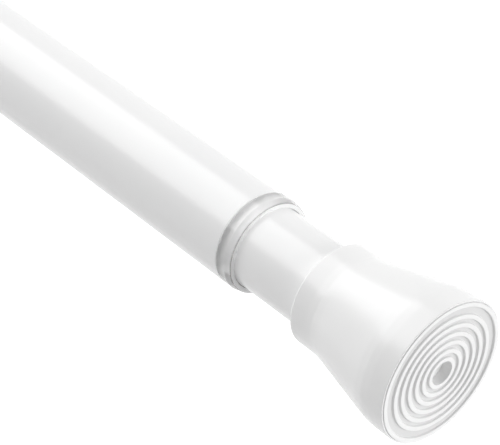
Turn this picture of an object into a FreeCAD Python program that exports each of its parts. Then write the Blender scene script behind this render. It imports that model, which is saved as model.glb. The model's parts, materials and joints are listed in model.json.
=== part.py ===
# Spring tension rod: two telescoping steel tubes with flared feet that press against two walls.
# A clear collar guides the inner tube in the mouth of the outer one. Inside, a twist lock grips
# the outer tube at any length, and a coil spring behind it pushes the inner tube outwards.
# Millimetres. +X runs along the rod, from the face of the outer tube's pad at the origin to the
# face of the inner tube's pad. +Z is up. The rod is pushed together and its lock is tight.
import FreeCAD, Part
import math
import os

# Tubes
outer_tube_diameter = 22.2
outer_tube_wall = 0.7
outer_tube_length = 360.0
inner_tube_wall = 0.7
inner_tube_exposed = 19.3
crimp_depth = 0.5
crimp_width = 3.0

# Clearances
seat_clearance = 0.05
running_clearance = 0.1
stop_clearance = 0.5

# Clear collar in the outer tube's mouth
collar_head_length = 4.3
collar_nose_length = 1.7
collar_nose_drop = 0.45
collar_shank_length = 14.0
collar_shank_wall = 0.75

# Flared feet
foot_length = 31.0
foot_floor = 6.0
foot_rim_band = 6.2
foot_flare = 2.7
foot_socket_band = 6.1
foot_socket_wall = 2.3
foot_blend = 17.0
foot_lip = 0.35
foot_vent_diameter = 2.5

# Wall pads
pad_thickness = 2.4
pad_proud = 0.2
pad_hole_diameter = 5.3
pad_border = 0.9
pad_border_groove = 1.7
ridge_pitch = 1.9
ridge_top = 0.9
ridge_height = 0.5
ridge_flank = 0.1

# Twist lock
spindle_diameter = 6.0
spindle_tip_gap = 1.5
spindle_tip_land = 1.2
flange_rise = 4.0
flange_thickness = 3.0
clip_rise = 2.2
clip_thickness = 0.9
clip_groove_depth = 0.6
washer_rise = 4.5
washer_thickness = 1.0
release_travel = 3.0
wedge_length = 12.0
wedge_overhang = 2.0
wedge_key_drop = 0.9
wedge_key_clearance = 0.2
sleeve_finger_wall = 2.1
sleeve_cone_drop = 2.2
sleeve_cone_length = 14.0
sleeve_throat_length = 8.0
sleeve_hub_length = 8.0
sleeve_slot_width = 2.6
sleeve_slot_margin = 2.0

# Spring and the pieces that carry it
spring_travel = 18.0
spring_length = 70.0
spring_pitch = 10.0
spring_wire_diameter = 1.6
spring_wire_sides = 6
spring_gap = 1.0
drive_hex = 6.0
plug_flange_thickness = 4.0
plug_shank_length = 20.0
seat_thickness = 4.0
seat_gap = 0.3
boss_length = 3.0
boss_gap = 0.8
stud_diameter = 4.0
stud_end = 1.0
nut_wall = 1.5
nut_thickness = 3.2
stop_length = 10.0
stop_bore_diameter = 4.0

# Radii that follow
outer_radius = outer_tube_diameter / 2
outer_bore = outer_radius - outer_tube_wall
sliding_radius = outer_bore - running_clearance
collar_shank_radius = outer_bore - seat_clearance
collar_bore = collar_shank_radius - collar_shank_wall
inner_radius = collar_bore - running_clearance
inner_bore = inner_radius - inner_tube_wall
plug_radius = inner_bore - seat_clearance
rim_radius = outer_radius + foot_socket_wall + foot_flare
pad_radius = rim_radius - foot_lip - seat_clearance
pad_hole = pad_hole_diameter / 2
vent_radius = foot_vent_diameter / 2
spindle_radius = spindle_diameter / 2
spindle_hole = spindle_radius + running_clearance
groove_radius = spindle_radius - clip_groove_depth
sleeve_mouth = sliding_radius - sleeve_finger_wall
sleeve_throat = sleeve_mouth - sleeve_cone_drop
coil_radius = inner_bore - spring_gap - spring_wire_diameter / 2
boss_radius = coil_radius - spring_wire_diameter / 2 - boss_gap
stud_radius = stud_diameter / 2
stud_hole = stud_radius + seat_clearance

# Places along the rod, from the outer tube's foot to the inner tube's foot
tube_start = foot_floor
tube_end = tube_start + outer_tube_length
collar_end = tube_end + collar_head_length
rod_length = collar_end + inner_tube_exposed + foot_length
inner_tube_end = rod_length - foot_floor
spindle_start = tube_start + spindle_tip_gap
clip_start = spindle_start + spindle_tip_land
clip_end = clip_start + clip_thickness
wedge_start = clip_end + stop_clearance + release_travel
wedge_end = wedge_start + wedge_length
sleeve_start = wedge_start + wedge_overhang
sleeve_cone_end = sleeve_start + sleeve_cone_length
sleeve_hub_start = sleeve_cone_end + sleeve_throat_length
sleeve_end = sleeve_hub_start + sleeve_hub_length
washer_start = sleeve_end + running_clearance
flange_start = washer_start + washer_thickness
flange_end = flange_start + flange_thickness
plug_start = flange_end + spring_travel + stop_clearance
inner_tube_start = plug_start + plug_flange_thickness
plug_end = inner_tube_start + plug_shank_length
crimp_middle = (inner_tube_start + plug_end) / 2
seat_start = plug_end + seat_clearance
spring_start = seat_start + seat_thickness
nut_start = spring_start + boss_length
nut_end = nut_start + nut_thickness
spindle_end = nut_end + stud_end
stop_start = spring_start + spring_length
stop_end = stop_start + stop_length

ORIGIN = FreeCAD.Vector(0, 0, 0)
ROD_AXIS = FreeCAD.Vector(1, 0, 0)
ACROSS = FreeCAD.Vector(0, 1, 0)
UP = FreeCAD.Vector(0, 0, 1)


def blended_corner(before, corner, after, blend):
    """Start, middle and end of the arc that rounds a corner, no longer than its two sides allow."""
    back = before - corner
    ahead = after - corner
    half_angle = back.getAngle(ahead) / 2
    reach = min(blend / math.tan(half_angle), back.Length / 2, ahead.Length / 2)
    back.normalize()
    ahead.normalize()
    inward = (back + ahead).normalize()
    depth = reach * (1 - math.sin(half_angle)) / math.cos(half_angle)
    return corner + back * reach, corner + inward * depth, corner + ahead * reach


def outline(corners):
    """Closed wire through (x, radius) corners; a third value is the arc radius that blends the corner."""
    points = [FreeCAD.Vector(corner[0], corner[1], 0) for corner in corners]
    stops = []
    for index, corner in enumerate(corners):
        if len(corner) == 3:
            after = points[(index + 1) % len(points)]
            stops.append(blended_corner(points[index - 1], points[index], after, corner[2]))
        else:
            stops.append([points[index]])
    edges = []
    for index, stop in enumerate(stops):
        edges.append(Part.LineSegment(stops[index - 1][-1], stop[0]).toShape())
        if len(stop) == 3:
            edges.append(Part.Arc(*stop).toShape())
    return Part.Wire(edges)


def turned(corners):
    """Solid turned about the rod axis from the outline of half its section."""
    return Part.Face(outline(corners)).revolve(ORIGIN, ROD_AXIS, 360)


def ring(start, end, hole_radius, radius):
    """Plain ring or tube between two places along the rod."""
    return turned([(start, hole_radius), (start, radius), (end, radius), (end, hole_radius)])


def bar(start, end, radius):
    """Round bar on the rod axis between two places."""
    return Part.makeCylinder(radius, end - start, ROD_AXIS * start, ROD_AXIS)


def around_axis(sides, radius, place=0):
    """Closed polygon of points around the rod axis."""
    turns = [2 * math.pi * step / sides for step in range(sides + 1)]
    points = [FreeCAD.Vector(place, radius * math.cos(turn), radius * math.sin(turn)) for turn in turns]
    return Part.makePolygon(points)


def hexagon(start, end, across_flats):
    """Hexagonal bar on the rod axis between two places."""
    return Part.Face(around_axis(6, across_flats / math.sqrt(3), start)).extrude(ROD_AXIS * (end - start))


def upright_slab(start, end, width, bottom, top):
    """Box on the rod axis, narrow across the rod and standing from bottom to top."""
    return Part.makeBox(end - start, width, top - bottom, FreeCAD.Vector(start, -width / 2, bottom))


def at_inner_end(shape):
    """A foot piece made at the outer tube's end, turned round to the inner tube's end."""
    shape.rotate(ORIGIN, UP, 180)
    shape.translate(ROD_AXIS * rod_length)
    return shape


def outer_tube():
    return ring(tube_start, tube_end, outer_bore, outer_radius)


def inner_tube():
    """Inner tube, rolled into the guide plug's groove near its hidden end."""
    dip = [(-crimp_width / 2 - crimp_depth, 0), (-crimp_width / 2, crimp_depth),
           (crimp_width / 2, crimp_depth), (crimp_width / 2 + crimp_depth, 0)]
    outside = [(crimp_middle + along, inner_radius - drop) for along, drop in dip]
    inside = [(crimp_middle + along, inner_bore - drop) for along, drop in reversed(dip)]
    hidden_end = [(inner_tube_start, inner_bore), (inner_tube_start, inner_radius)]
    foot_end = [(inner_tube_end, inner_radius), (inner_tube_end, inner_bore)]
    return turned(hidden_end + outside + foot_end + inside)


def end_collar():
    """Clear collar: a head as wide as the outer tube, with a tapered nose, and a shank inside the tube."""
    shank_start = tube_end - collar_shank_length
    return turned([(shank_start, collar_bore), (shank_start, collar_shank_radius),
                   (tube_end, collar_shank_radius), (tube_end, outer_radius),
                   (collar_end - collar_nose_length, outer_radius),
                   (collar_end, outer_radius - collar_nose_drop), (collar_end, collar_bore)])


def foot(tube_radius):
    """Moulded foot: a socket for the tube, flaring to a rim with a recess for the pad, and a small vent."""
    socket_bore = tube_radius + seat_clearance
    socket_radius = tube_radius + foot_socket_wall
    recess_radius = rim_radius - foot_lip
    return turned([(pad_proud, recess_radius), (pad_proud, rim_radius),
                   (foot_rim_band, rim_radius, foot_blend),
                   (foot_length - foot_socket_band, socket_radius, foot_blend),
                   (foot_length, socket_radius), (foot_length, socket_bore),
                   (foot_floor, socket_bore), (foot_floor, vent_radius),
                   (pad_thickness, vent_radius), (pad_thickness, recess_radius)])


def pad():
    """Soft disc with concentric ridges level with its border, and a hole inside the first ridge."""
    ridge_room = pad_radius - pad_border - pad_border_groove - ridge_top - pad_hole
    ridge_count = int(ridge_room / ridge_pitch) + 1
    ridge_starts = [pad_hole + ridge_pitch * index for index in range(ridge_count)]
    corners = [(pad_thickness, pad_hole), (0, pad_hole)]
    for start, next_start in zip(ridge_starts, ridge_starts[1:] + [pad_radius - pad_border]):
        corners += [(0, start + ridge_top), (ridge_height, start + ridge_top + ridge_flank),
                    (ridge_height, next_start - ridge_flank), (0, next_start)]
    return turned(corners + [(0, pad_radius), (pad_thickness, pad_radius)])


def expander_sleeve():
    """Split sleeve: four fingers with a tapered mouth, on a hub that turns on the spindle."""
    body = turned([(sleeve_start, sleeve_mouth), (sleeve_start, sliding_radius),
                   (sleeve_end, sliding_radius), (sleeve_end, spindle_hole),
                   (sleeve_hub_start, spindle_hole), (sleeve_hub_start, sleeve_throat),
                   (sleeve_cone_end, sleeve_throat)])
    slot_end = sleeve_hub_start - sleeve_slot_margin
    upright = upright_slab(sleeve_start, slot_end, sleeve_slot_width, -outer_radius, outer_radius)
    level = upright.copy()
    level.rotate(ORIGIN, ROD_AXIS, 90)
    return body.cut([upright, level])


def wedge_nut():
    """Tapered nut that spreads the fingers; keys in the sleeve's upright slots stop it turning."""
    taper = sleeve_cone_drop / sleeve_cone_length
    wide_end = sleeve_mouth + taper * wedge_overhang - running_clearance
    narrow_end = wide_end - taper * wedge_length
    cone = turned([(wedge_start, 0), (wedge_start, wide_end), (wedge_end, narrow_end), (wedge_end, 0)])
    key_top = sliding_radius - wedge_key_drop
    key_width = sleeve_slot_width - 2 * wedge_key_clearance
    keys = upright_slab(wedge_start, wedge_end, key_width, -key_top, key_top)
    return cone.fuse(keys).cut(bar(wedge_start, wedge_end, spindle_hole)).removeSplitter()


def spindle():
    """Spindle: round screw end with a clip groove, thrust flange, hexagonal drive and a stud."""
    groove_start = clip_start - seat_clearance
    groove_end = clip_end + seat_clearance
    flange_radius = spindle_radius + flange_rise
    screw = turned([(spindle_start, 0), (spindle_start, spindle_radius),
                    (groove_start, spindle_radius), (groove_start, groove_radius),
                    (groove_end, groove_radius), (groove_end, spindle_radius),
                    (flange_start, spindle_radius), (flange_start, flange_radius),
                    (flange_end, flange_radius), (flange_end, 0)])
    drive = hexagon(flange_end, seat_start, drive_hex)
    return screw.fuse([drive, bar(seat_start, spindle_end, stud_radius)]).removeSplitter()


def stop_clip():
    """Open spring clip in the spindle's groove, which keeps the wedge nut on."""
    hole = groove_radius + seat_clearance
    clip_radius = spindle_radius + clip_rise
    body = ring(clip_start, clip_end, hole, clip_radius)
    return body.cut(upright_slab(clip_start, clip_end, 2 * hole, 0, clip_radius))


def thrust_washer():
    return ring(washer_start, flange_start, spindle_hole, spindle_radius + washer_rise)


def guide_plug():
    """Plug in the inner tube's hidden end: a flange that slides in the outer tube and a hexagonal hole."""
    groove_half = crimp_width / 2 + crimp_depth
    groove_floor = plug_radius - crimp_depth
    body = turned([(plug_start, 0), (plug_start, sliding_radius),
                   (inner_tube_start, sliding_radius), (inner_tube_start, plug_radius),
                   (crimp_middle - groove_half, plug_radius), (crimp_middle - groove_half, groove_floor),
                   (crimp_middle + groove_half, groove_floor), (crimp_middle + groove_half, plug_radius),
                   (plug_end, plug_radius), (plug_end, 0)])
    return body.cut(hexagon(plug_start, plug_end, drive_hex + 2 * running_clearance))


def spring_seat():
    """Flanged seat on the spindle's stud that carries the spring's near end."""
    flange_radius = inner_bore - seat_gap
    return turned([(seat_start, stud_hole), (seat_start, flange_radius), (spring_start, flange_radius),
                   (spring_start, boss_radius), (nut_start, boss_radius), (nut_start, stud_hole)])


def seat_nut():
    across_flats = 2 * (stud_hole + nut_wall)
    return hexagon(nut_start, nut_end, across_flats).cut(bar(nut_start, nut_end, stud_hole))


def spring_stop():
    """Plug pressed into the inner tube that takes the spring's far end on a boss."""
    boss_start = stop_start - boss_length
    stop_bore = stop_bore_diameter / 2
    return turned([(boss_start, stop_bore), (boss_start, boss_radius), (stop_start, boss_radius),
                   (stop_start, plug_radius), (stop_end, plug_radius), (stop_end, stop_bore)])


def spring():
    """Coil spring, wound one turn past each end and ground flat there."""
    helix = Part.makeHelix(spring_pitch, spring_length + 2 * spring_pitch, coil_radius)
    section = around_axis(spring_wire_sides, spring_wire_diameter / 2)
    section.rotate(ORIGIN, UP, 90)
    section.translate(ROD_AXIS * coil_radius)
    coil = helix.makePipeShell([section], True, True)
    coil.rotate(ORIGIN, ACROSS, 90)
    coil.translate(ROD_AXIS * (spring_start - spring_pitch))
    return coil.common(bar(spring_start, stop_start, inner_bore))


def build():
    """Every piece of the rod by name, in place."""
    return {
        "outer_tube": outer_tube(),
        "end_collar": end_collar(),
        "outer_foot": foot(outer_radius),
        "outer_pad": pad(),
        "inner_tube": inner_tube(),
        "inner_foot": at_inner_end(foot(inner_radius)),
        "inner_pad": at_inner_end(pad()),
        "expander_sleeve": expander_sleeve(),
        "wedge_nut": wedge_nut(),
        "spindle": spindle(),
        "stop_clip": stop_clip(),
        "thrust_washer": thrust_washer(),
        "guide_plug": guide_plug(),
        "spring_seat": spring_seat(),
        "seat_nut": seat_nut(),
        "spring_stop": spring_stop(),
        "spring": spring(),
    }


os.makedirs("parts", exist_ok=True)
for name, shape in build().items():
    shape.exportStep("parts/" + name + ".step")
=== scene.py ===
# Looks of the spring tension rod: painted tubes, clear collar, moulded feet, ridged pads and spring.
# Metres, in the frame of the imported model: +X runs along the rod and +Z is up.
import json
import math

import bmesh
import bpy
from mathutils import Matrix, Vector

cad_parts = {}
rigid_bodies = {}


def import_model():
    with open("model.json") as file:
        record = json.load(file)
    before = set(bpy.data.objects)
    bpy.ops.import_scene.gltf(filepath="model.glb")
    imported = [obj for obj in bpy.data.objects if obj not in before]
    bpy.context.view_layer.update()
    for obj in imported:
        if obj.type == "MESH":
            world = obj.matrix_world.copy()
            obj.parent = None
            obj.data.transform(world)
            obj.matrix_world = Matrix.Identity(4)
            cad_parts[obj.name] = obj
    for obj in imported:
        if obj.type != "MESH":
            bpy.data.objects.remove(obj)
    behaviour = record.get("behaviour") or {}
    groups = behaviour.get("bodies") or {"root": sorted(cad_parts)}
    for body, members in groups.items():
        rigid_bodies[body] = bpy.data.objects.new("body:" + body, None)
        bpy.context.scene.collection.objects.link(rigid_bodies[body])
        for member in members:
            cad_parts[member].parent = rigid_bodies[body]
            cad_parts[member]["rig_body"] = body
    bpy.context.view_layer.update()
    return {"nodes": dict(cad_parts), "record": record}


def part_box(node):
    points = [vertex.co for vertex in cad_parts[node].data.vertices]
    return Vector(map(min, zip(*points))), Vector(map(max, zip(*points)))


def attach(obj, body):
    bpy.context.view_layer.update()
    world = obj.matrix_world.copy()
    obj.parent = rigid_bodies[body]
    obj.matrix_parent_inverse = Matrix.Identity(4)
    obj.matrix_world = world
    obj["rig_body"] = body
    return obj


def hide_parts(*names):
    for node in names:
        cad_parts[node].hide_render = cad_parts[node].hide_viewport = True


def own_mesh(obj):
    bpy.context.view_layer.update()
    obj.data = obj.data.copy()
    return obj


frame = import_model()

MM = 0.001

# Tubes
tube_wall = 0.7 * MM
tube_edge_round = 0.15 * MM
crimp_depth = 0.5 * MM
crimp_width = 3.0 * MM
crimp_round = 1.0 * MM

# Clear collar; its line is the fine dark line of painted shade on the edges of its frosted end
collar_bore_clearance = 0.1 * MM
collar_shank_clearance = 0.05 * MM
collar_seam = 0.05 * MM
collar_nose_length = 1.7 * MM
collar_nose_drop = 0.45 * MM
collar_edge_round = 0.25 * MM
collar_painted_line = 0.25 * MM
collar_frost_depth = 0.05 * MM
collar_light = 0.82

# Flared feet
socket_clearance = 0.05 * MM
socket_wall = 2.3 * MM
socket_band = 6.1 * MM
rim_band = 6.2 * MM
foot_blend = 17.0 * MM
foot_lip = 0.35 * MM
foot_vent = 1.25 * MM
foot_edge_round = 0.4 * MM
rim_edge_round = 0.12 * MM

# Wall pads
pad_hole = 2.65 * MM
pad_border = 0.9 * MM
ridge_count = 6
ridge_pitch = 1.9 * MM
ridge_top = 0.9 * MM
ridge_height = 0.5 * MM
ridge_flank = 0.1 * MM
ridge_round = 0.12 * MM

# Spring
wire_radius = 0.8 * MM
spring_pitch = 10.0 * MM
wire_sides = 16
steps_per_turn = 64

# Meshes; a side long enough for them gets two guard loops
segments = 192
arc_step = math.radians(9)
guard_loop = 0.3 * MM
guarded_side = 4 * guard_loop
smooth_angle = math.radians(30)

# Surface noise, and the part of its range that is used
noise_detail = 3.0
noise_low = 0.3
noise_high = 0.7

# Camera, placed from the middle of the near pad's face
face_middle = Vector((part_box("inner_pad")[1].x, 0, 0))
camera_offset = Vector((0.1789, -0.2057, 0.2532))
camera_azimuth = math.radians(48.84)
camera_elevation = math.radians(38.64)
camera_lens = 137.69
camera_near = 0.01
sensor_width = 36.0

# Studio; the lamps look at a place a little behind the near pad
floor_drop = 0.35
floor_size = 4.0
floor_shade = 0.72
floor_fill = 0.49
sky_strength = 0.35
lamp_distance = 4.0
lamp_aim = face_middle - Vector((0.1, 0, 0))


def arc_points(before, corner, after, radius):
    """Points of the arc that rounds a corner, no longer than half of its two sides."""
    back = before - corner
    ahead = after - corner
    half_angle = back.angle(ahead) / 2
    reach = min(radius / math.tan(half_angle), back.length / 2, ahead.length / 2)
    back.normalize()
    ahead.normalize()
    centre = corner + (back + ahead).normalized() * reach / math.cos(half_angle)
    start = corner + back * reach - centre
    end = corner + ahead * reach - centre
    sweep = math.atan2(start.x * end.y - start.y * end.x, start.dot(end))
    steps = max(2, math.ceil(abs(sweep) / arc_step))
    points = []
    for step in range(steps + 1):
        turn = sweep * step / steps
        cos, sin = math.cos(turn), math.sin(turn)
        points.append(centre + Vector((start.x * cos - start.y * sin, start.x * sin + start.y * cos)))
    return points


def profile(corners):
    """Closed outline through (x, radius) corners; a third value rounds the corner."""
    places = [Vector(corner[:2]) for corner in corners]
    rounded = []
    for index, corner in enumerate(corners):
        if len(corner) == 3:
            after = places[(index + 1) % len(places)]
            rounded += arc_points(places[index - 1], places[index], after, corner[2])
        else:
            rounded.append(places[index])
    points = []
    for index, point in enumerate(rounded):
        points.append(point)
        side = rounded[(index + 1) % len(rounded)] - point
        if side.length > guarded_side:
            points.append(point + side.normalized() * guard_loop)
            points.append(point + side - side.normalized() * guard_loop)
    return points


def skin(rings, sides, closed):
    """Faces between rings of points; in a closed skin the last ring joins the first."""
    faces = []
    for ring in range(rings if closed else rings - 1):
        here = ring * sides
        there = (ring + 1) % rings * sides
        for side in range(sides):
            after = (side + 1) % sides
            faces.append((here + side, here + after, there + after, there + side))
    return faces


def new_piece(name, vertices, faces):
    """Mesh object with outward faces, smooth but for its real edges."""
    mesh = bpy.data.meshes.new(name)
    mesh.from_pydata(vertices, [], faces)
    shape = bmesh.new()
    shape.from_mesh(mesh)
    bmesh.ops.recalc_face_normals(shape, faces=shape.faces)
    shape.to_mesh(mesh)
    shape.free()
    mesh.shade_smooth()
    mesh.set_sharp_from_angle(angle=smooth_angle)
    piece = bpy.data.objects.new(name, mesh)
    bpy.context.scene.collection.objects.link(piece)
    return piece


def lathe(name, corners):
    """Piece turned about the rod axis from half its section."""
    points = profile(corners)
    vertices = []
    for segment in range(segments):
        turn = 2 * math.pi * segment / segments
        vertices += [(point.x, point.y * math.cos(turn), point.y * math.sin(turn)) for point in points]
    return new_piece(name, vertices, skin(segments, len(points), closed=True))


def mark(piece, name, share):
    """Marks each point of a piece with a share from 0 to 1, worked out from its place."""
    marks = piece.data.attributes.new(name, "FLOAT", "POINT")
    for point, vertex in zip(marks.data, piece.data.vertices):
        point.value = min(max(share(vertex.co), 0), 1)


def dress(piece, node, material):
    """The piece stands for a node of the model, on that node's body."""
    piece.data.materials.append(material)
    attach(piece, frame["nodes"][node]["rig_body"])
    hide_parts(node)
    return piece


def outer_tube():
    """Plain tube with broken edges."""
    low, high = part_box("outer_tube")
    radius = high.z
    bore = radius - tube_wall
    return lathe("painted_outer_tube", [
        (low.x, bore, tube_edge_round), (low.x, radius, tube_edge_round),
        (high.x, radius, tube_edge_round), (high.x, bore, tube_edge_round)])


def inner_tube():
    """Inner tube, rolled into the guide plug's groove near its hidden end."""
    low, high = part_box("inner_tube")
    plug_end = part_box("guide_plug")[1].x
    radius = high.z
    bore = radius - tube_wall
    middle = (low.x + plug_end) / 2
    dip = [(-crimp_width / 2 - crimp_depth, 0), (-crimp_width / 2, crimp_depth),
           (crimp_width / 2, crimp_depth), (crimp_width / 2 + crimp_depth, 0)]
    outside = [(middle + along, radius - drop, crimp_round) for along, drop in dip]
    inside = [(middle + along, bore - drop, crimp_round) for along, drop in reversed(dip)]
    hidden_end = [(low.x, bore, tube_edge_round), (low.x, radius, tube_edge_round)]
    foot_end = [(high.x, radius, tube_edge_round), (high.x, bore, tube_edge_round)]
    return lathe("painted_inner_tube", hidden_end + outside + foot_end + inside)


def end_collar():
    """Collar with a head as wide as the outer tube, a tapered nose and a shank inside the tube.

    The edges of its end are marked for a painted dark line of shade, and its end face takes the second
    material.
    """
    low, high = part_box("end_collar")
    tube_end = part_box("outer_tube")[1].x
    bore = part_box("inner_tube")[1].z + collar_bore_clearance
    shank = high.z - tube_wall - collar_shank_clearance
    nose = high.z - collar_nose_drop
    head_start = tube_end + collar_seam
    piece = lathe("clear_collar", [
        (low.x, bore, collar_edge_round), (low.x, shank, collar_edge_round),
        (head_start, shank), (head_start, high.z, tube_edge_round),
        (high.x - collar_nose_length, high.z, collar_edge_round),
        (high.x, nose, collar_edge_round), (high.x, bore, collar_edge_round)])

    # Painted shade: share of the dark line, highest at the edges of the collar's end
    def painted_edge_shade_share(place):
        radius = math.hypot(place.y, place.z)
        nearest = min(abs(radius - edge) for edge in (bore, nose))
        return 1 - math.hypot(high.x - place.x, nearest) / collar_painted_line

    mark(piece, "painted_edge_shade", painted_edge_shade_share)
    for side in piece.data.polygons:
        side.material_index = int(side.center.x > high.x - collar_frost_depth)
    return piece


def from_wall(node, along):
    """Place along the rod at a distance from the wall that the foot or pad presses on."""
    if node.startswith("outer"):
        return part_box("outer_pad")[0].x + along
    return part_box("inner_pad")[1].x - along


def foot(node, tube):
    """Foot with a socket for the tube, flaring to a rim with a recess for the pad, and a vent."""
    low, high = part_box(node)
    pad_low, pad_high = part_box(node.replace("foot", "pad"))
    tube_low, tube_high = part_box(tube)
    tube_inset = min(abs(tube_low.x - pad_low.x), abs(pad_high.x - tube_high.x))
    pad_thickness = pad_high.x - pad_low.x
    proud = min(abs(low.x - pad_low.x), abs(pad_high.x - high.x))
    length = proud + high.x - low.x
    bore = tube_high.z + socket_clearance
    socket = tube_high.z + socket_wall
    recess = high.z - foot_lip
    corners = [
        (proud, recess, rim_edge_round), (proud, high.z, rim_edge_round),
        (rim_band, high.z, foot_blend), (length - socket_band, socket, foot_blend),
        (length, socket, foot_edge_round), (length, bore, foot_edge_round),
        (tube_inset, bore), (tube_inset, foot_vent), (pad_thickness, foot_vent), (pad_thickness, recess)]
    return lathe("moulded_" + node, [(from_wall(node, corner[0]), *corner[1:]) for corner in corners])


def pad(node):
    """Disc with concentric ridges level with its border, and a hole inside the first ridge.

    The grooves are marked by their depth, for painted shade that darkens them further down.
    """
    low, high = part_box(node)
    thickness = high.x - low.x
    starts = [pad_hole + ridge_pitch * index for index in range(ridge_count)]
    corners = [(thickness, pad_hole), (0, pad_hole, ridge_round)]
    for start, following in zip(starts, starts[1:] + [high.z - pad_border]):
        corners += [(0, start + ridge_top, ridge_round),
                    (ridge_height, start + ridge_top + ridge_flank, ridge_round),
                    (ridge_height, following - ridge_flank, ridge_round),
                    (0, following, ridge_round)]
    corners += [(0, high.z, ridge_round), (thickness, high.z)]
    piece = lathe("ridged_" + node, [(from_wall(node, corner[0]), *corner[1:]) for corner in corners])
    face = from_wall(node, 0)

    # Painted shade: share of grey in the grooves, growing with their depth
    def painted_groove_shade_share(place):
        ridged = pad_hole + ridge_top / 2 < math.hypot(place.y, place.z) < high.z - pad_border / 2
        return ridged * abs(place.x - face) / ridge_height

    mark(piece, "painted_groove_shade", painted_groove_shade_share)
    return piece


def spring():
    """Coil spring of round wire, ground flat at both ends."""
    low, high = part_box("spring")
    coil_radius = high.z - wire_radius
    turns = (high.x - low.x) / spring_pitch
    steps = round(turns * steps_per_turn)
    slope = math.atan2(spring_pitch, 2 * math.pi * coil_radius)
    vertices = []
    for step in range(steps + 1):
        turn = 2 * math.pi * step / steps_per_turn
        outward = Vector((0, math.cos(turn), math.sin(turn)))
        around = Vector((0, -math.sin(turn), math.cos(turn)))
        beside = Vector((1, 0, 0)) * math.cos(slope) - around * math.sin(slope)
        centre = outward * coil_radius + Vector((low.x + spring_pitch * step / steps_per_turn, 0, 0))
        for side in range(wire_sides):
            angle = 2 * math.pi * side / wire_sides
            place = centre + wire_radius * (outward * math.cos(angle) + beside * math.sin(angle))
            place.x = min(max(place.x, low.x), high.x)
            vertices.append(place)
    ends = [tuple(range(wire_sides)), tuple(range(steps * wire_sides, (steps + 1) * wire_sides))]
    return new_piece("wound_spring", vertices, ends + skin(steps + 1, wire_sides, closed=False))


def new_material(name):
    """Material and its shader."""
    material = bpy.data.materials.new(name)
    material.use_nodes = True
    return material, material.node_tree.nodes["Principled BSDF"]


def grey(level):
    """Even colour of that level."""
    return (level, level, level)


def noise(material, size, stretch=(1, 1, 1)):
    """Noise over the surface, with a grain of that size."""
    nodes = material.node_tree.nodes
    links = material.node_tree.links
    place = nodes.new("ShaderNodeTexCoord")
    scale = nodes.new("ShaderNodeMapping")
    scale.inputs["Scale"].default_value = [1 / (size * share) for share in stretch]
    texture = nodes.new("ShaderNodeTexNoise")
    texture.inputs["Scale"].default_value = 1.0
    texture.inputs["Detail"].default_value = noise_detail
    links.new(place.outputs["Object"], scale.inputs["Vector"])
    links.new(scale.outputs["Vector"], texture.inputs["Vector"])
    return texture.outputs["Fac"]


def drift(material, socket, patch, low, high):
    """A value that drifts between two ends, in patches of that size."""
    value = noise(material, patch)
    span = material.node_tree.nodes.new("ShaderNodeMapRange")
    span.inputs["From Min"].default_value = noise_low
    span.inputs["From Max"].default_value = noise_high
    span.inputs["To Min"].default_value = low
    span.inputs["To Max"].default_value = high
    material.node_tree.links.new(value, span.inputs["Value"])
    material.node_tree.links.new(span.outputs["Result"], socket)


def tint(material, socket, patch, low, high):
    """A colour that drifts between two ends, in patches of that size."""
    value = noise(material, patch)
    ramp = material.node_tree.nodes.new("ShaderNodeValToRGB")
    ramp.color_ramp.elements[0].position = noise_low
    ramp.color_ramp.elements[0].color = (*low, 1)
    ramp.color_ramp.elements[1].position = noise_high
    ramp.color_ramp.elements[1].color = (*high, 1)
    material.node_tree.links.new(value, ramp.inputs["Fac"])
    material.node_tree.links.new(ramp.outputs["Color"], socket)


def relief(material, shader, grain, depth, stretch=(1, 1, 1)):
    """Fine relief of that grain and depth."""
    value = noise(material, grain, stretch)
    bump = material.node_tree.nodes.new("ShaderNodeBump")
    bump.inputs["Distance"].default_value = depth
    material.node_tree.links.new(value, bump.inputs["Height"])
    material.node_tree.links.new(bump.outputs["Normal"], shader.inputs["Normal"])


def marked(material, mark_name, colour, socket):
    """A colour where a piece is marked; returns the socket for the colour of the rest."""
    marks = material.node_tree.nodes.new("ShaderNodeAttribute")
    marks.attribute_name = mark_name
    both = material.node_tree.nodes.new("ShaderNodeMix")
    both.data_type = "RGBA"
    ends = [end for end in both.inputs if end.enabled and end.name in ("A", "B")]
    ends[1].default_value = (*colour, 1)
    material.node_tree.links.new(marks.outputs["Fac"], both.inputs["Factor"])
    material.node_tree.links.new(next(end for end in both.outputs if end.enabled), socket)
    return ends[0]


def pass_light(material, shader):
    """Most of the lamp light goes through the surface, as through real clear plastic."""
    nodes = material.node_tree.nodes
    links = material.node_tree.links
    path = nodes.new("ShaderNodeLightPath")
    opening = nodes.new("ShaderNodeBsdfTransparent")
    opening.inputs["Color"].default_value = (*grey(collar_light), 1)
    both = nodes.new("ShaderNodeMixShader")
    links.new(path.outputs["Is Shadow Ray"], both.inputs["Fac"])
    links.new(shader.outputs["BSDF"], both.inputs[1])
    links.new(opening.outputs["BSDF"], both.inputs[2])
    links.new(both.outputs["Shader"], nodes["Material Output"].inputs["Surface"])


def tube_paint():
    """White powder coat on steel, satin, with a faint orange peel."""
    material, shader = new_material("white_powder_coat")
    tint(material, shader.inputs["Base Color"], patch=25 * MM, low=(0.895, 0.896, 0.898), high=grey(0.91))
    drift(material, shader.inputs["Roughness"], patch=8 * MM, low=0.23, high=0.265)
    relief(material, shader, grain=0.9 * MM, depth=0.004 * MM)
    return material


def foot_plastic():
    """White moulded plastic, a little glossier than the tubes."""
    material, shader = new_material("white_moulded_plastic")
    tint(material, shader.inputs["Base Color"], patch=15 * MM, low=grey(0.895), high=(0.91, 0.91, 0.908))
    drift(material, shader.inputs["Roughness"], patch=5 * MM, low=0.22, high=0.26)
    relief(material, shader, grain=0.35 * MM, depth=0.0015 * MM)
    return material


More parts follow.
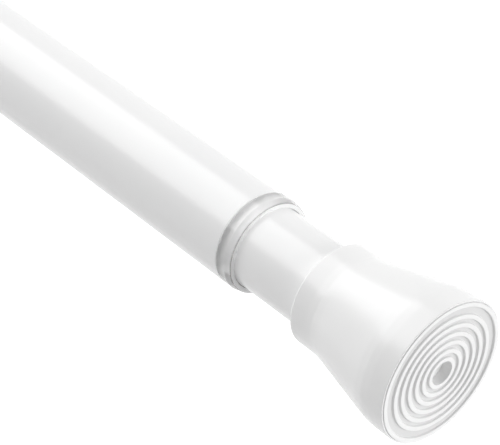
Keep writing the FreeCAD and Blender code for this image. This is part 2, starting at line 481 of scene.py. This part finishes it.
def pad_rubber():
    """White soft rubber, matte, with a fine moulded grain and painted shade that darkens its grooves."""
    material, shader = new_material("white_soft_rubber")
    # Painted shade: the grooves turn grey by their depth, where the ridges would shade them
    shade = marked(material, "painted_groove_shade", grey(0.72), shader.inputs["Base Color"])
    tint(material, shade, patch=6 * MM, low=(0.87, 0.87, 0.868), high=grey(0.89))
    drift(material, shader.inputs["Roughness"], patch=2 * MM, low=0.45, high=0.6)
    relief(material, shader, grain=0.2 * MM, depth=0.003 * MM)
    return material


def clear_plastic():
    """Clear polished plastic with a trace of flow in its surface and a painted dark line of shade on the
    edges of its end.
    """
    material, shader = new_material("clear_moulded_plastic")
    # Painted shade: a near-black line on the edges of the collar's end
    clear = marked(material, "painted_edge_shade", grey(0.03), shader.inputs["Base Color"])
    clear.default_value = (*grey(0.85), 1)
    shader.inputs["Transmission Weight"].default_value = 0.65
    shader.inputs["IOR"].default_value = 1.4
    drift(material, shader.inputs["Roughness"], patch=3 * MM, low=0.04, high=0.08)
    relief(material, shader, grain=4 * MM, depth=0.01 * MM)
    pass_light(material, shader)
    return material


def frosted_plastic():
    """The clear plastic where it is left matte, on the collar's end face."""
    material, shader = new_material("frosted_clear_plastic")
    tint(material, shader.inputs["Base Color"], patch=2 * MM, low=grey(0.78), high=grey(0.81))
    shader.inputs["IOR"].default_value = 1.25
    shader.inputs["Subsurface Weight"].default_value = 1.0
    shader.inputs["Subsurface Radius"].default_value = (1, 1, 1)
    shader.inputs["Subsurface Scale"].default_value = 4 * MM
    drift(material, shader.inputs["Roughness"], patch=1 * MM, low=0.4, high=0.5)
    relief(material, shader, grain=0.2 * MM, depth=0.002 * MM)
    pass_light(material, shader)
    return material


def lock_plastic():
    """Natural nylon, cream and slightly waxy."""
    material, shader = new_material("natural_nylon")
    tint(material, shader.inputs["Base Color"], patch=5 * MM, low=(0.79, 0.77, 0.7), high=(0.84, 0.83, 0.78))
    drift(material, shader.inputs["Roughness"], patch=2 * MM, low=0.38, high=0.5)
    relief(material, shader, grain=0.3 * MM, depth=0.003 * MM)
    return material


def wedge_plastic():
    """Black glass-filled plastic with a short grain."""
    material, shader = new_material("black_filled_plastic")
    tint(material, shader.inputs["Base Color"], patch=2 * MM,
         low=(0.02, 0.02, 0.022), high=(0.045, 0.045, 0.048))
    drift(material, shader.inputs["Roughness"], patch=1 * MM, low=0.4, high=0.6)
    relief(material, shader, grain=0.25 * MM, depth=0.006 * MM)
    return material


def turned_steel(name, low, high, roughness):
    """Steel with fine turning marks round the rod axis."""
    material, shader = new_material(name)
    shader.inputs["Metallic"].default_value = 1.0
    tint(material, shader.inputs["Base Color"], patch=4 * MM, low=low, high=high)
    drift(material, shader.inputs["Roughness"], patch=1.5 * MM, low=roughness - 0.06, high=roughness + 0.08)
    relief(material, shader, grain=0.12 * MM, depth=0.002 * MM, stretch=(1, 40, 40))
    return material


def seen_directly(nodes, links):
    """1 for rays from the camera, from gloss and through clear plastic, and 0 for the rest."""
    path = nodes.new("ShaderNodeLightPath")
    total = path.outputs["Is Camera Ray"]
    for kind in ("Is Glossy Ray", "Is Transmission Ray"):
        either = nodes.new("ShaderNodeMath")
        either.operation = "MAXIMUM"
        links.new(total, either.inputs[0])
        links.new(path.outputs[kind], either.inputs[1])
        total = either.outputs["Value"]
    return total


def floor_material():
    """Pale surface that keeps shadows, and shows white to the camera and in gloss and glass."""
    material = bpy.data.materials.new("pale_floor")
    material.use_nodes = True
    nodes = material.node_tree.nodes
    links = material.node_tree.links
    nodes.clear()
    surface = nodes.new("ShaderNodeBsdfDiffuse")
    surface.inputs["Color"].default_value = (*grey(floor_shade), 1)
    glow = nodes.new("ShaderNodeEmission")
    strength = nodes.new("ShaderNodeMath")
    strength.operation = "MULTIPLY"
    strength.inputs[1].default_value = floor_fill
    both = nodes.new("ShaderNodeAddShader")
    output = nodes.new("ShaderNodeOutputMaterial")
    links.new(seen_directly(nodes, links), strength.inputs[0])
    links.new(strength.outputs["Value"], glow.inputs["Strength"])
    links.new(surface.outputs["BSDF"], both.inputs[0])
    links.new(glow.outputs["Emission"], both.inputs[1])
    links.new(both.outputs["Shader"], output.inputs["Surface"])
    return material


def floor():
    """Pale floor far below the rod."""
    half = floor_size / 2
    corners = [(-half, -half), (half, -half), (half, half), (-half, half)]
    vertices = [(x, y, -floor_drop) for x, y in corners]
    mesh = bpy.data.meshes.new("floor")
    mesh.from_pydata(vertices, [], [(0, 1, 2, 3)])
    mesh.materials.append(floor_material())
    plane = bpy.data.objects.new("floor", mesh)
    bpy.context.scene.collection.objects.link(plane)


def softbox(name, toward, width, height, power, mirrored):
    """Soft area lamp that looks at the near end from a direction; the gloss may mirror it."""
    lamp = bpy.data.lights.new(name, "AREA")
    lamp.shape = "RECTANGLE"
    lamp.size = width
    lamp.size_y = height
    lamp.energy = power
    holder = bpy.data.objects.new(name, lamp)
    direction = Vector(toward).normalized()
    holder.location = lamp_aim + direction * lamp_distance
    holder.rotation_euler = direction.to_track_quat("Z", "Y").to_euler()
    holder.visible_camera = False
    holder.visible_glossy = mirrored
    bpy.context.scene.collection.objects.link(holder)


def world():
    """Even soft light from all round; white to the camera and in gloss and glass."""
    studio = bpy.data.worlds.new("studio")
    bpy.context.scene.world = studio
    studio.use_nodes = True
    nodes = studio.node_tree.nodes
    links = studio.node_tree.links
    span = nodes.new("ShaderNodeMapRange")
    span.inputs["To Min"].default_value = sky_strength
    span.inputs["To Max"].default_value = 1.0
    links.new(seen_directly(nodes, links), span.inputs["Value"])
    links.new(span.outputs["Result"], nodes["Background"].inputs["Strength"])
    nodes["Background"].inputs["Color"].default_value = (1, 1, 1, 1)


def camera():
    """Camera at the photograph's place and angle."""
    lens = bpy.data.cameras.new("camera")
    lens.lens = camera_lens
    lens.sensor_width = sensor_width
    lens.clip_start = camera_near
    holder = bpy.data.objects.new("camera", lens)
    holder.location = face_middle + camera_offset
    holder.rotation_euler = (math.pi / 2 - camera_elevation, 0, camera_azimuth)
    bpy.context.scene.collection.objects.link(holder)
    bpy.context.scene.camera = holder


# Pieces that stand for the visible solids
paint = tube_paint()
plastic = foot_plastic()
rubber = pad_rubber()
spring_steel = turned_steel("oiled_spring_steel", (0.3, 0.3, 0.31), (0.42, 0.42, 0.43), roughness=0.34)
plated_steel = turned_steel("zinc_plated_steel", (0.6, 0.6, 0.58), (0.72, 0.72, 0.7), roughness=0.36)
dress(outer_tube(), "outer_tube", paint)
dress(inner_tube(), "inner_tube", paint)
collar = dress(end_collar(), "end_collar", clear_plastic())
collar.data.materials.append(frosted_plastic())
dress(foot("outer_foot", "outer_tube"), "outer_foot", plastic)
dress(foot("inner_foot", "inner_tube"), "inner_foot", plastic)
dress(pad("outer_pad"), "outer_pad", rubber)
dress(pad("inner_pad"), "inner_pad", rubber)

# The spring's piece gets a mesh of its own
coil = dress(spring(), "spring", spring_steel)
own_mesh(coil)

# The hidden lock pieces keep their solids
finishes = {
    "lock_plastic": lock_plastic(),
    "wedge_plastic": wedge_plastic(),
    "plated_steel": plated_steel,
    "spring_steel": spring_steel,
}
for row in frame["record"]["subparts"]:
    if row["material_slot"] in finishes:
        node = frame["nodes"][row["node"]]
        node.data.materials.clear()
        node.data.materials.append(finishes[row["material_slot"]])

world()
floor()
softbox("key", toward=(-0.95, -0.22, 1.0), width=4.6, height=2.6, power=132, mirrored=True)
softbox("side", toward=(1.0, 0.45, 0.2), width=4.0, height=2.4, power=115, mirrored=False)
softbox("back", toward=(0.15, 1.0, 0.3), width=3.6, height=2.0, power=7, mirrored=False)
softbox("end", toward=(-1.0, 0.4, 0.25), width=2.0, height=1.6, power=19, mirrored=False)
camera()
bpy.context.scene.view_settings.view_transform = "Standard"
